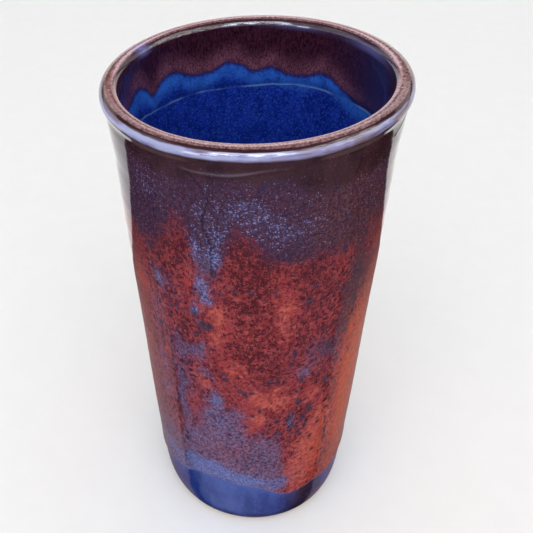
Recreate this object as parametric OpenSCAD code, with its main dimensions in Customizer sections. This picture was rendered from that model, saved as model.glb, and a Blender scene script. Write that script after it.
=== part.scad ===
// Tall tapered stoneware vase with a rolled rim, glazed inside and out.
// The clay body is one turned piece. The glazes are coats laid over it, each
// one a shell with its own thickness: a blue base coat outside, a blue liner
// inside, and a red coat over both, dipped rim-down, in three zones.
// Millimetres, +Z up, origin at the centre of the foot, on the table.

/* [Body] */
// Overall height, table to the crest of the rim
height = 254; // [230:1:290]
// Outer diameter just above the foot curve
foot_d = 105.4; // [98:0.2:112]
// Outer diameter at the shoulder, under the neck
shoulder_d = 122; // [116:0.2:126]
// Thickness of the clay wall at mid height
wall = 4.6; // [4:0.1:7]
// Thickness of the clay floor above the recess
floor_t = 6.5; // [5:0.1:9]

/* [Rim] */
// Outer diameter of the rolled rim
rim_d = 130.2; // [127:0.2:134]
// Radius of the roll on the outer side
bead_r = 3.75; // [3.2:0.05:4.2]
// Width of the rim from inner lip to outer edge
rim_w = 8.6; // [8:0.1:9.6]

/* [Foot ring] */
// Outer diameter of the bare ring that the vase stands on
ring_d = 90.8; // [86:0.2:92]
// Width of the ring's flat face
ring_w = 5.2; // [4:0.1:7]
// Depth of the recess inside the ring
recess = 3.4; // [2:0.1:4]

/* [Glaze] */
// Thickness of the blue base coat and of the blue liner
base_t = 0.7; // [0.5:0.05:0.9]
// Thickness of the red coat over them
over_t = 0.7; // [0.5:0.05:0.9]
// Mean height of the red coat's lower edge outside
drip_h = 33; // [30:0.5:46]
// How strongly that edge runs up and down
drip_amp = 1; // [0:0.05:1.2]
// Depth below the rim of the red coat's edge inside
dip_depth = 31.5; // [24:0.5:38]

/* [Hidden] */
$fn = 180;
SUB = 4;                     // points on each span of the profile
foot_r = foot_d / 2;
shoulder_r = shoulder_d / 2;
rim_r = rim_d / 2 - over_t;  // to the base coat's surface
br = bead_r - over_t;
crest = height - over_t;
lip_r = rim_d / 2 - rim_w + over_t;
ir = 2.7;                    // inner roll of the lip

// Height on the wall, stretched with the overall height.
function zz(z) = z * height / 254;
// Outer radius between foot and shoulder, k from 0 to 1.
function mix(k) = foot_r + (shoulder_r - foot_r) * k;
function bead(a) = [rim_r - br + br * cos(a), crest - br + br * sin(a)];
function lip(a) = [lip_r + ir + ir * cos(a), crest - ir + ir * sin(a)];
// Inner radius of the lined wall.
function inn(k, out) = out - wall - 2 * base_t + k;

// Surface of the base coat and the liner, from the foot up the outside,
// over the rim, down the inside and across the floor.
OUTER = [
  [foot_r - 4.1, 2.4], [foot_r - 3.1, 4.2], [foot_r - 2.25, 6.8],
  [foot_r - 1.4, 10], [foot_r - 0.6, 15], [foot_r, 22],
  [mix(0.09), 36], [mix(0.31), zz(76)], [mix(0.54), zz(127)],
  [mix(0.81), zz(178)], [mix(0.93), zz(208)], [shoulder_r, zz(225)],
  [shoulder_r + 1.05, crest - 17.3], [shoulder_r + 1.5, crest - 11.3],
  [shoulder_r + 1.8, crest - 7.2]
];
ROLL = [bead(-38), bead(-8), bead(22), bead(52), bead(80),
        lip(95), lip(122), lip(150), lip(176)];
floor_z = recess + floor_t + base_t;
INNER = [
  [lip_r - 0.12, crest - 7], [inn(0, shoulder_r + 1.6), crest - 15],
  [inn(0.3, shoulder_r + 0.6), zz(228)], [inn(0.55, mix(0.93)), zz(208)],
  [inn(0.1, mix(0.74)), zz(165)], [inn(0, mix(0.54)), zz(127)],
  [inn(-0.3, mix(0.33)), zz(80)], [inn(-0.5, mix(0.14)), zz(45)],
  [inn(-0.6, mix(0.04)), 28], [foot_r - 6.9, floor_z + 9],
  [foot_r - 9.5, floor_z + 3.2], [foot_r - 15, floor_z + 0.8],
  [foot_r - 25, floor_z + 0.2], [foot_r * 0.25, floor_z], [0, floor_z]
];
CTRL = concat(OUTER, ROLL, INNER);
N_CTRL = len(CTRL);

// One point on the span from b to c, u from 0 to 1, with a and d beside it.
function span(a, b, c, d, u) =
  let (m0 = (c - a) / 2, m1 = (d - b) / 2,
       h = norm(c - b), s0 = h / max(norm(c - a), 0.01) * 2,
       s1 = h / max(norm(d - b), 0.01) * 2)
  (2*pow(u,3) - 3*pow(u,2) + 1) * b + (pow(u,3) - 2*pow(u,2) + u) * m0 * s0
  + (-2*pow(u,3) + 3*pow(u,2)) * c + (pow(u,3) - pow(u,2)) * m1 * s1;
function at(i) = CTRL[max(0, min(N_CTRL - 1, i))];
function curve() = concat(
  [for (i = [0 : N_CTRL - 2]) for (s = [0 : SUB - 1])
     span(at(i - 1), at(i), at(i + 1), at(i + 2), s / SUB)],
  [CTRL[N_CTRL - 1]]);
B = curve();
NB = len(B);
// Unit normal at a point of the profile, pointing out of the clay.
function nrm(i) =
  i >= NB - 1 ? [0, 1] :
  let (t = B[min(NB - 1, i + 1)] - B[max(0, i - 1)], n = [t[1], -t[0]])
  n / norm(n);
// The profile moved out by d, from point i0 to point i1.
function off(d, i0, i1) =
  [for (i = [i0 : i1]) let (p = B[i] + d * nrm(i)) [max(0, p[0]), p[1]]];
function rev(v) = [for (i = [len(v) - 1 : -1 : 0]) v[i]];
// Points where one coat hands over to the next.
I_OVER = 4 * SUB;                       // under the red coat's lower edge
I_OUT = (len(OUTER) + 3) * SUB;         // outer shoulder of the rim
I_CREST = (len(OUTER) + 5) * SUB;       // where base coat meets liner
I_IN = (len(OUTER) + 7) * SUB;          // inner shoulder of the rim
I_DIP = (len(OUTER) + len(ROLL) + 3) * SUB;

// Height of the red coat's lower edge outside, at angle a from the front,
// positive towards +X. Broad runs and a few narrower tongues.
function bump(a, c, w) = exp(-pow(((a - c + 540) % 360 - 180) / w, 2));
function drip(a) = drip_h + drip_amp * (
  9 * bump(a, -18, 27) - 5.5 * bump(a, 24, 13) - 3.5 * bump(a, 50, 16)
  + 4 * bump(a, 88, 17) - 5 * bump(a, 120, 15) + 6 * bump(a, 158, 24)
  - 4.5 * bump(a, -150, 16) + 3 * bump(a, -112, 18) - 5 * bump(a, -72, 14)
  + 0.5 * sin(11 * a + 40) + 0.35 * sin(19 * a));
// The same inside, much straighter.
function dip(a) = height - dip_depth + 1.1 * sin(a + 60)
  + 0.7 * sin(3 * a + 20) + 0.35 * sin(7 * a + 75);

// Closed shell between the profile moved out by lo and by hi.
module coat(lo, hi, i0, i1) {
  rotate_extrude() polygon(concat(off(hi, i0, i1), rev(off(lo, i0, i1))));
}
// Ring from radius r1 to r2 whose top follows a wavy line, for trimming a coat.
WAVES = 96;
function wavy_z(a, inside) = inside ? dip(a) : drip(a);
module wavy_ring(r1, r2, z0, inside) {
  pts = [for (i = [0 : WAVES - 1])
    let (a = i * 360 / WAVES, z = wavy_z(a, inside), s = sin(a), c = -cos(a))
    each [[r1*s, r1*c, z], [r2*s, r2*c, z], [r2*s, r2*c, z0], [r1*s, r1*c, z0]]];
  quads = [for (i = [0 : WAVES - 1]) for (k = [0 : 3])
    let (j = (i + 1) % WAVES, l = (k + 1) % 4)
    each [[4*i+k, 4*j+k, 4*j+l], [4*i+k, 4*j+l, 4*i+l]]];
  polyhedron(points = pts, faces = quads, convexity = 6);
}

// Fired clay: foot ring, floor, wall and rolled rim, turned from one lump.
module stoneware_body() {
  ro = ring_d / 2;
  ri = ro - ring_w;
  foot = [[0, recess], [ri - 3.4, recess], [ri - 1.6, recess - 0.5],
          [ri - 0.5, 0.7], [ri, 0], [ro, 0], [ro + 0.9, 0.3],
          [ro + 1.9, 1.1]];
  color("tan") rotate_extrude() polygon(concat(foot, off(-base_t, 0, NB - 1)));
}
// Blue coat outside, from just above the ring to the crest of the rim.
module outer_base_glaze() {
  color([0.20, 0.23, 0.45]) coat(-base_t, 0, 0, I_CREST);
}
// Blue liner, from the crest down the wall and over the floor.
module inner_liner_glaze() {
  color([0.05, 0.12, 0.45]) coat(-base_t, 0, I_CREST, NB - 1);
}
// Red coat outside, from the rim's outer shoulder to its running lower edge.
module outer_overglaze() {
  color([0.45, 0.16, 0.16]) difference() {
    coat(0, over_t, I_OVER, I_OUT);
    wavy_ring(foot_r - 8, foot_r + 9, 5, false);
  }
}
// The same glaze where it thins over the rim and breaks tan.
module rim_glaze() {
  color([0.52, 0.38, 0.36]) coat(0, over_t, I_OUT, I_IN);
}
// Red coat inside, down to the line that the dip reached.
module inner_overglaze() {
  color([0.24, 0.10, 0.15]) difference() {
    coat(0, over_t, I_IN, I_DIP);
    wavy_ring(shoulder_r - 14, shoulder_r + 1, zz(190), true);
  }
}

stoneware_body();
outer_base_glaze();
inner_liner_glaze();
outer_overglaze();
rim_glaze();
inner_overglaze();
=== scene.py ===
import bpy
import bmesh
import math
import numpy as np
from mathutils import Matrix


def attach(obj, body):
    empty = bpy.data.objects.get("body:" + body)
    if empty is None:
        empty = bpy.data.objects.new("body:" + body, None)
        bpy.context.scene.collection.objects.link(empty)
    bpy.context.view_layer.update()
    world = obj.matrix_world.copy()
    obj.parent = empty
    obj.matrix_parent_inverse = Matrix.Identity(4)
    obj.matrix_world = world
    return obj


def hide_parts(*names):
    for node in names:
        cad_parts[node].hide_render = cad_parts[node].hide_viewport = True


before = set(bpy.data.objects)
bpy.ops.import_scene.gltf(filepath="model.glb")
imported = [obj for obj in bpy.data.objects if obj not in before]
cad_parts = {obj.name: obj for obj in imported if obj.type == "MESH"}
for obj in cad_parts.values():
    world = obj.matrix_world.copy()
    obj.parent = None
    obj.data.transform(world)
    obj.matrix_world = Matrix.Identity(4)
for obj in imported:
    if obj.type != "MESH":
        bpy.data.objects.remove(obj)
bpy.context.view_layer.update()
scene = bpy.context.scene
scene.view_settings.view_transform = "Standard"
scene.view_settings.look = "None"

# ---------------------------------------------------------------- profile
# The base coat's surface, in millimetres, from the foot up the outside, over
# the rim, down the inside and across the floor: the same turned line as the
# CAD, sampled more finely.
H, BASE_T, OVER_T = 254.0, 0.7, 0.7
FOOT_R, SHOULDER_R = 52.7, 61.0
WALL, FLOOR_T, RECESS = 4.6, 6.5, 3.4
RIM_R, BR, CREST = 65.1 - OVER_T, 3.75 - OVER_T, H - OVER_T
LIP_R, IR = 65.1 - 8.6 + OVER_T, 2.7
RING_R, RING_W = 45.4, 5.2


def mix_r(k):
    return FOOT_R + (SHOULDER_R - FOOT_R) * k


def bead(a):
    return [RIM_R - BR + BR * math.cos(math.radians(a)), CREST - BR + BR * math.sin(math.radians(a))]


def lip(a):
    return [LIP_R + IR + IR * math.cos(math.radians(a)), CREST - IR + IR * math.sin(math.radians(a))]


def inn(k, out):
    return out - WALL - 2 * BASE_T + k


OUTER = [
    [FOOT_R - 4.1, 2.4], [FOOT_R - 3.1, 4.2], [FOOT_R - 2.25, 6.8], [FOOT_R - 1.4, 10],
    [FOOT_R - 0.6, 15], [FOOT_R, 22], [mix_r(0.09), 36], [mix_r(0.31), 76],
    [mix_r(0.54), 127], [mix_r(0.81), 178], [mix_r(0.93), 208], [SHOULDER_R, 225],
    [SHOULDER_R + 1.05, CREST - 17.3], [SHOULDER_R + 1.5, CREST - 11.3], [SHOULDER_R + 1.8, CREST - 7.2]]
ROLL = [bead(-38), bead(-8), bead(22), bead(52), bead(80), lip(95), lip(122), lip(150), lip(176)]
FZ = RECESS + FLOOR_T + BASE_T
INNER = [
    [LIP_R - 0.12, CREST - 7], [inn(0, SHOULDER_R + 1.6), CREST - 15], [inn(0.3, SHOULDER_R + 0.6), 228],
    [inn(0.55, mix_r(0.93)), 208], [inn(0.1, mix_r(0.74)), 165], [inn(0, mix_r(0.54)), 127],
    [inn(-0.3, mix_r(0.33)), 80], [inn(-0.5, mix_r(0.14)), 45], [inn(-0.6, mix_r(0.04)), 28],
    [FOOT_R - 6.9, FZ + 9], [FOOT_R - 9.5, FZ + 3.2], [FOOT_R - 15, FZ + 0.8],
    [FOOT_R - 25, FZ + 0.2], [FOOT_R * 0.25, FZ], [0, FZ]]
CTRL = np.array(OUTER + ROLL + INNER, float)
NC = len(CTRL)
I_OUT, I_CREST, I_IN = len(OUTER) + 3.0, len(OUTER) + 5.0, len(OUTER) + 7.0


def span(a, b, c, d, u):
    m0, m1 = (c - a) / 2, (d - b) / 2
    h = np.linalg.norm(c - b)
    s0 = h / max(np.linalg.norm(c - a), 0.01) * 2
    s1 = h / max(np.linalg.norm(d - b), 0.01) * 2
    return ((2 * u**3 - 3 * u**2 + 1) * b + (u**3 - 2 * u**2 + u) * m0 * s0
            + (-2 * u**3 + 3 * u**2) * c + (u**3 - u**2) * m1 * s1)


SUB = 40
pts, ids = [], []
for i in range(NC - 1):
    a, b, c, d = CTRL[max(0, i - 1)], CTRL[i], CTRL[i + 1], CTRL[min(NC - 1, i + 2)]
    for k in range(SUB):
        pts.append(span(a, b, c, d, k / SUB))
        ids.append(i + k / SUB)
pts.append(CTRL[-1])
ids.append(NC - 1.0)
raw, raw_id = np.array(pts), np.array(ids)
arc = np.concatenate([[0], np.cumsum(np.linalg.norm(np.diff(raw, axis=0), axis=1))])
STEP = 0.1
PS = np.arange(0, arc[-1], STEP)
PR, PZ, PI = np.interp(PS, arc, raw[:, 0]), np.interp(PS, arc, raw[:, 1]), np.interp(PS, arc, raw_id)


def smooth_line(v, n):
    """A running mean that keeps the ends."""
    k = np.hanning(2 * n + 1)
    k /= k.sum()
    pad = np.concatenate([2 * v[0] - v[n:0:-1], v, 2 * v[-1] - v[-2:-n - 2:-1]])
    return np.convolve(pad, k, "valid")


TR, TZ = np.gradient(smooth_line(PR, 8)), np.gradient(smooth_line(PZ, 8))
_l = np.hypot(TR, TZ)
NR, NZ = smooth_line(TZ / _l, 8), smooth_line(-TR / _l, 8)
_l = np.hypot(NR, NZ)
NR, NZ = NR / _l, NZ / _l
S_END = PS[-1]


def s_at(i):
    return float(np.interp(i, raw_id, arc))


S_CREST = s_at(I_CREST)
_o, _n = PS < s_at(I_OUT), (PS > s_at(I_IN)) & (PS < s_at(len(OUTER) + len(ROLL) + 8))


def s_out(z):
    """Arc length where the outside is at height z."""
    return np.interp(z, PZ[_o], PS[_o])


def s_in(z):
    return np.interp(-np.asarray(z), -PZ[_n], PS[_n])


# ---------------------------------------------------------------- noise on the pot
def wrap(d):
    return (d + 540.0) % 360.0 - 180.0


def value_noise(th, z, cell, seed):
    """Smooth noise from -1 to 1 on the cylinder, periodic in angle. cell is its grain in mm: (round, up)."""
    ct, cz = cell if isinstance(cell, tuple) else (cell, cell)
    n = max(4, int(round(2 * math.pi * 58 / ct)))
    m = int(300 / cz) + 4
    g = np.random.default_rng(seed).uniform(-1, 1, (m, n))
    u, v = (th % 360.0) / 360.0 * n, (z + 20) / cz
    i, j = np.floor(u).astype(int), np.clip(np.floor(v).astype(int), 0, m - 2)
    fu, fv = u - np.floor(u), np.clip(v - j, 0, 1)
    fu, fv = fu * fu * (3 - 2 * fu), fv * fv * (3 - 2 * fv)
    a, b = g[j, i % n], g[j, (i + 1) % n]
    c, d = g[j + 1, i % n], g[j + 1, (i + 1) % n]
    return (a * (1 - fu) + b * fu) * (1 - fv) + (c * (1 - fu) + d * fu) * fv


def fractal(th, z, cell, seed, octaves=3):
    out, amp, tot = 0.0, 1.0, 0.0
    for k in range(octaves):
        c = (cell[0] / 2**k, cell[1] / 2**k) if isinstance(cell, tuple) else cell / 2**k
        out = out + amp * value_noise(th, z, c, seed + 17 * k)
        tot += amp
        amp *= 0.5
    return out / tot


def smooth(x, a, b):
    t = np.clip((x - a) / (b - a), 0, 1)
    return t * t * (3 - 2 * t)


def blobs(th, z, rows):
    """Sum of soft patches: (angle, height, half width in degrees, half height in mm, amount)."""
    out = 0.0
    for t0, z0, wt, wz, amp in rows:
        out = out + amp * np.exp(-(wrap(th - t0) / wt) ** 2 - ((z - z0) / wz) ** 2)
    return out


def loop_line(rows):
    """Smooth closed line of height against angle through the given points."""
    rows = sorted(rows)
    t = np.array([r[0] for r in rows], float)
    v = np.array([r[1] for r in rows], float)
    t = np.concatenate([t[-2:] - 360, t, t[:2] + 360])
    v = np.concatenate([v[-2:], v, v[:2]])
    m = np.gradient(v, t)
    grid = np.arange(0, 360, 0.25)
    x = np.where(grid > 180, grid - 360, grid)
    k = np.clip(np.searchsorted(t, x, "right") - 1, 0, len(t) - 2)
    h = t[k + 1] - t[k]
    u = (x - t[k]) / h
    y = ((2 * u**3 - 3 * u**2 + 1) * v[k] + (u**3 - 2 * u**2 + u) * h * m[k]
         + (-2 * u**3 + 3 * u**2) * v[k + 1] + (u**3 - u**2) * h * m[k + 1])
    return lambda a: np.interp(np.asarray(a) % 360.0, np.append(grid, 360.0), np.append(y, y[0]))


def bump(a, c, w):
    return np.exp(-((wrap(a - c)) / w) ** 2)


def drip(a):
    """Height of the red coat's lower edge outside, as in the CAD, with a finer ripple."""
    r = np.radians(a)
    return (33 + 9 * bump(a, -18, 27) - 5.5 * bump(a, 24, 13) - 3.5 * bump(a, 50, 16)
            + 4 * bump(a, 88, 17) - 5 * bump(a, 120, 15) + 6 * bump(a, 158, 24)
            - 4.5 * bump(a, -150, 16) + 3 * bump(a, -112, 18) - 5 * bump(a, -72, 14)
            + 0.5 * np.sin(11 * r + math.radians(40)) + 0.35 * np.sin(19 * r)
            + 0.3 * value_noise(a, 0 * a, 3.0, 5))


def dip(a):
    """Height of the red coat's edge inside, as in the CAD, with a finer ripple."""
    r = np.radians(a)
    return (H - 31.5 + 1.1 * np.sin(r + math.radians(60)) + 0.7 * np.sin(3 * r + math.radians(20))
            + 0.35 * np.sin(7 * r + math.radians(75)) + 0.2 * value_noise(a, 0 * a, 4.0, 6))


# Height at which the red inside gives way to blue, in lobes.
inner_line = loop_line([
    (-103, 235.5), (-112, 237.2), (-117, 234.4), (-122, 229.5), (-128, 233.6), (-139, 235),
    (-146, 231.6), (-158, 230.8), (-167, 233.8), (-174, 232), (-179, 229.1), (171, 230.6),
    (162, 227.7), (153, 228.4), (142, 231), (134, 227.7), (124, 224.4), (110, 224.8),
    (96, 229), (80, 233), (66, 229.5), (50, 231.5), (34, 227.5), (18, 230.5), (0, 232.8),
    (-18, 229), (-34, 231.5), (-50, 227.8), (-64, 232), (-80, 230.2), (-92, 233.5)])


_w = np.random.default_rng(31)
WAVES = [(int(_w.integers(2, 15)), float(_w.uniform(-0.16, 0.16)), float(_w.uniform(0, 6.3)), float(_w.uniform(0.4, 1.0)))
         for _ in range(16)]


def ripple(th, s):
    """Small unevenness of the thrown and fired surface, in mm, along the normal."""
    z = np.interp(s, PS, PZ)
    side = np.where(s > S_CREST, 2.1, 0.0)
    r = np.radians(th)
    flat = smooth(s, 6, 30) * (1 - 0.6 * smooth(np.abs(s - S_CREST), 22, 8))
    fade = 1 - smooth(s, S_END - 75, S_END - 40)
    rings = 0.026 * np.sin((z + 2.2 * np.sin(r)) * 2 * math.pi / 12.5 + side)
    rings = rings + 0.011 * np.sin((z + 3 * np.sin(r + 1.2)) * 2 * math.pi / 7.3 + side)
    lumps = sum(w * np.sin(m * r + k * z + p + side) / (m + 60 * abs(k)) for m, k, p, w in WAVES) * 0.11
    swell = 0.05 * np.sin(2 * r + 0.6) * smooth(s, 10, 60)
    return (rings + lumps) * flat * fade + swell * fade


def place(th, s, off):
    """Points, in metres, at angle th and arc length s, off millimetres out from the base coat's surface."""
    r, z = np.interp(s, PS, PR), np.interp(s, PS, PZ)
    nr, nz = np.interp(s, PS, NR), np.interp(s, PS, NZ)
    o = off + ripple(th, s)
    r, z = np.maximum(r + o * nr, 0), z + o * nz
    a = np.radians(th)
    return np.stack([r * np.sin(a), -r * np.cos(a), z], -1) * 0.001


# ---------------------------------------------------------------- mesh building
def closed_mesh(name, grid, normals=None, shown_rows=None, attributes=None, pole_first=False, pole_last=False):
    """A closed skin from rings of points. grid is (rows, columns, 3); the last ring joins the first unless both
    ends are poles. Rings run anticlockwise seen from above where the row goes up the outside."""
    rows, cols = grid.shape[:2]
    co = grid.reshape(-1, 3)
    idx = np.arange(rows * cols).reshape(rows, cols)
    if pole_first:
        idx[0] = idx[0, 0]
    if pole_last:
        idx[-1] = idx[-1, 0]
    ring = not (pole_first and pole_last)
    a = idx if ring else idx[:-1]
    b = np.roll(idx, -1, 0) if ring else idx[1:]
    quads = np.stack([a, np.roll(a, -1, 1), np.roll(b, -1, 1), b], -1).reshape(-1, 4)
    faces = []
    keep = np.full(len(quads), True)
    if pole_first or pole_last:
        first = quads[:, 0] == quads[:, 1]
        last = quads[:, 2] == quads[:, 3]
        keep = ~(first | last)
        tri = [q[[0, 2, 3]] for q in quads[first]] + [q[[0, 1, 2]] for q in quads[last]]
        faces = [tuple(int(x) for x in t) for t in tri]
    used = np.zeros(len(co), bool)
    used[quads[keep].ravel()] = True
    for t in faces:
        used[list(t)] = True
    remap = np.cumsum(used) - 1
    q = remap[quads[keep]]
    loops = np.concatenate([q.ravel(), remap[np.array(faces, int).reshape(-1)]]) if faces else q.ravel()
    starts = np.concatenate([np.arange(len(q)) * 4, len(q) * 4 + np.arange(len(faces)) * 3])
    me = bpy.data.meshes.new(name)
    me.vertices.add(int(used.sum()))
    me.vertices.foreach_set("co", co[used].astype(np.float32).ravel())
    me.loops.add(len(loops))
    me.loops.foreach_set("vertex_index", loops.astype(np.int32))
    me.polygons.add(len(starts))
    me.polygons.foreach_set("loop_start", starts.astype(np.int32))
    me.update(calc_edges=True)
    me.validate()
    me.polygons.foreach_set("use_smooth", np.ones(len(me.polygons), bool))
    for key, v in (attributes or {}).items():
        at = me.attributes.new(key, "FLOAT", "POINT")
        full = np.zeros((rows, cols), np.float32)
        full[:v.shape[0]] = v
        at.data.foreach_set("value", full.reshape(-1)[used])
    if normals is not None:
        full = np.zeros((rows, cols, 3), np.float32)
        full[:normals.shape[0]] = normals
        me.normals_split_custom_set_from_vertices([tuple(v) for v in full.reshape(-1, 3)[used].tolist()])
    ob = bpy.data.objects.new(name, me)
    scene.collection.objects.link(ob)
    return ob


def skin_normals(th, s, off_fn):
    """Unit normals of the outer skin, from the surface itself, so that neighbouring coats shade as one."""
    e_t, e_s = 0.4, 0.25
    du = place(th + e_t, s, off_fn(th + e_t, s)) - place(th - e_t, s, off_fn(th - e_t, s))
    dv = place(th, s + e_s, off_fn(th, s + e_s)) - place(th, s - e_s, off_fn(th, s - e_s))
    n = np.cross(du, dv)
    return n / np.maximum(np.linalg.norm(n, axis=-1, keepdims=True), 1e-12)


def coat_mesh(name, cols, s_lo, s_hi, rows, off_fn, under, under_rows, attrs, pole=False, dense=None):
    """A coat: its skin from s_lo(th) to s_hi(th), off_fn millimetres above the base line, closed behind by a
    plain skin at height under."""
    th = np.arange(cols) * 360.0 / cols
    f = np.linspace(0, 1, rows) if dense is None else dense(np.linspace(0, 1, rows))
    lo = s_lo(th) if callable(s_lo) else np.full(cols, s_lo)
    hi = s_hi(th) if callable(s_hi) else np.full(cols, s_hi)
    T = np.broadcast_to(th, (rows, cols))
    S = lo[None] + (hi - lo)[None] * f[:, None]
    top = place(T, S, off_fn(T, S))
    nrm = skin_normals(T, np.clip(S, 0.3, S_END - 0.3), off_fn)
    fb = np.linspace(1, 0, under_rows)
    Tb = np.broadcast_to(th, (under_rows, cols))
    Sb = lo[None] + (hi - lo)[None] * fb[:, None]
    back = place(Tb, Sb, under)
    if pole:
        top[-1] = top[-1].mean(0)
        back[0] = back[0].mean(0)
    Z = np.interp(S, PS, PZ)
    I = np.interp(S, PS, PI)
    values = {k: np.clip(fn(T, Z, I, S), -40, 300).astype(np.float32) for k, fn in attrs.items()}
    if pole:
        grid = np.concatenate([top, back], 0)
        return closed_pole(name, top, back, nrm, values)
    grid = np.concatenate([top, back], 0)
    ob = closed_mesh(name, grid, nrm, rows, values)
    return ob


def closed_pole(name, top, back, nrm, values):
    """The same, where both skins end at the axis: two caps joined by one rim."""
    rows, cols = top.shape[:2]
    n_back = back.shape[0]
    # rings: top from the axis outwards, then back from the rim to the axis
    grid = np.concatenate([top[::-1], back[::-1]], 0)
    vals = {k: v[::-1] for k, v in values.items()}
    ob = closed_mesh(name, grid[:, ::-1], nrm[::-1][:, ::-1], rows, {k: v[:, ::-1] for k, v in vals.items()},
                     pole_first=True, pole_last=True)
    return ob


# ---------------------------------------------------------------- material helper
class Tree:
    def __init__(self, name, shader="ShaderNodeBsdfPrincipled"):
        self.mat = bpy.data.materials.new(name)
        self.mat.use_nodes = True
        self.t = self.mat.node_tree
        self.t.nodes.clear()
        self.out = self.t.nodes.new("ShaderNodeOutputMaterial")
        self.bsdf = self.t.nodes.new(shader)
        self.t.links.new(self.bsdf.outputs[0], self.out.inputs[0])
        self.co = self.t.nodes.new("ShaderNodeTexCoord").outputs["Object"]

    def put(self, sock, v):
        if isinstance(v, bpy.types.NodeSocket):
            self.t.links.new(v, sock)
        elif isinstance(v, (tuple, list)):
            sock.default_value = tuple(v) + ((1.0,) if len(v) == 3 and len(sock.default_value) == 4 else ())
        else:
            sock.default_value = v

    def math(self, op, a, b=0.0, c=0.0, clamp=False):
        n = self.t.nodes.new("ShaderNodeMath")
        n.operation, n.use_clamp = op, clamp
        for k, v in enumerate((a, b, c)):
            self.put(n.inputs[k], v)
        return n.outputs[0]

    def add(self, a, b, clamp=False):
        return self.math("ADD", a, b, clamp=clamp)

    def mul(self, a, b, clamp=False):
        return self.math("MULTIPLY", a, b, clamp=clamp)

    def sub(self, a, b, clamp=False):
        return self.math("SUBTRACT", a, b, clamp=clamp)

    def step(self, v, lo, hi, a=0.0, b=1.0, kind="SMOOTHSTEP"):
        n = self.t.nodes.new("ShaderNodeMapRange")
        n.interpolation_type = kind
        for k, x in enumerate((v, lo, hi, a, b)):
            self.put(n.inputs[k], x)
        return n.outputs[0]

    def mix(self, f, a, b, mode="MIX"):
        n = self.t.nodes.new("ShaderNodeMix")
        n.data_type, n.blend_type, n.clamp_factor = "RGBA", mode, True
        self.put(n.inputs[0], f)
        self.put(n.inputs[6], a)
        self.put(n.inputs[7], b)
        return n.outputs[2]

    def scaled(self, x, y, z, turn=(0, 0, 0)):
        n = self.t.nodes.new("ShaderNodeMapping")
        self.put(n.inputs[0], self.co)
        n.inputs["Scale"].default_value = (x, y, z)
        n.inputs["Location"].default_value = turn
        return n.outputs[0]

    def noise(self, scale, detail=2.0, rough=0.5, vec=None, dist=0.0):
        n = self.t.nodes.new("ShaderNodeTexNoise")
        self.put(n.inputs["Vector"], vec if vec is not None else self.co)
        n.inputs["Scale"].default_value = scale
        n.inputs["Detail"].default_value = detail
        n.inputs["Roughness"].default_value = rough
        n.inputs["Distortion"].default_value = dist
        return n.outputs[0]

    def cells(self, scale, vec=None, rand=1.0, feature="F1"):
        n = self.t.nodes.new("ShaderNodeTexVoronoi")
        n.feature = feature
        self.put(n.inputs["Vector"], vec if vec is not None else self.co)
        n.inputs["Scale"].default_value = scale
        n.inputs["Randomness"].default_value = rand
        return n.outputs["Distance"]

    def spots(self, scale, density, r_lo, r_hi, warp=0.35, soft=0.4):
        """Rounded spots of varied size. density is the share of the cells that hold one, scale is cells per metre."""
        n = self.t.nodes.new("ShaderNodeTexNoise")
        self.put(n.inputs["Vector"], self.co)
        n.inputs["Scale"].default_value, n.inputs["Detail"].default_value = scale * 2.2, 2.0
        v = self.t.nodes.new("ShaderNodeVectorMath")
        v.operation = "MULTIPLY_ADD"
        self.put(v.inputs[0], n.outputs["Color"])
        v.inputs[1].default_value = (warp / scale,) * 3
        self.put(v.inputs[2], self.co)
        c = self.t.nodes.new("ShaderNodeTexVoronoi")
        self.put(c.inputs["Vector"], v.outputs[0])
        c.inputs["Scale"].default_value = scale
        p = self.t.nodes.new("ShaderNodeSeparateColor")
        self.put(p.inputs[0], c.outputs["Color"])
        size = self.step(p.outputs[1], 0.0, 1.0, r_lo, r_hi, "LINEAR")
        here = self.step(self.sub(density, p.outputs[0]), -0.02, 0.04)
        return self.mul(here, self.step(self.sub(size, c.outputs["Distance"]), 0.0, self.mul(size, soft)))

    def attr(self, name):
        n = self.t.nodes.new("ShaderNodeAttribute")
        n.attribute_name = name
        return n.outputs["Fac"]

    def bump(self, height, distance, strength=1.0):
        n = self.t.nodes.new("ShaderNodeBump")
        n.inputs["Strength"].default_value = strength
        n.inputs["Distance"].default_value = distance
        self.put(n.inputs["Height"], height)
        self.put(self.bsdf.inputs["Normal"], n.outputs[0])

    def finish(self, colour, rough, ior=1.5):
        self.put(self.bsdf.inputs["Base Color"], colour)
        self.put(self.bsdf.inputs["Roughness"], rough)
        self.bsdf.inputs["IOR"].default_value = ior
        return self.mat


# ---------------------------------------------------------------- where the colours lie
def back_fill(rows, seed, count, z_lo, z_hi, wt, wz, amp):
    """The same kind of patches over the side away from the front."""
    g = np.random.default_rng(seed)
    out = list(rows)
    for _ in range(count):
        out.append((g.uniform(84, 276), g.uniform(z_lo, z_hi), g.uniform(*wt), g.uniform(*wz), g.uniform(*amp)))
    return out


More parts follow.
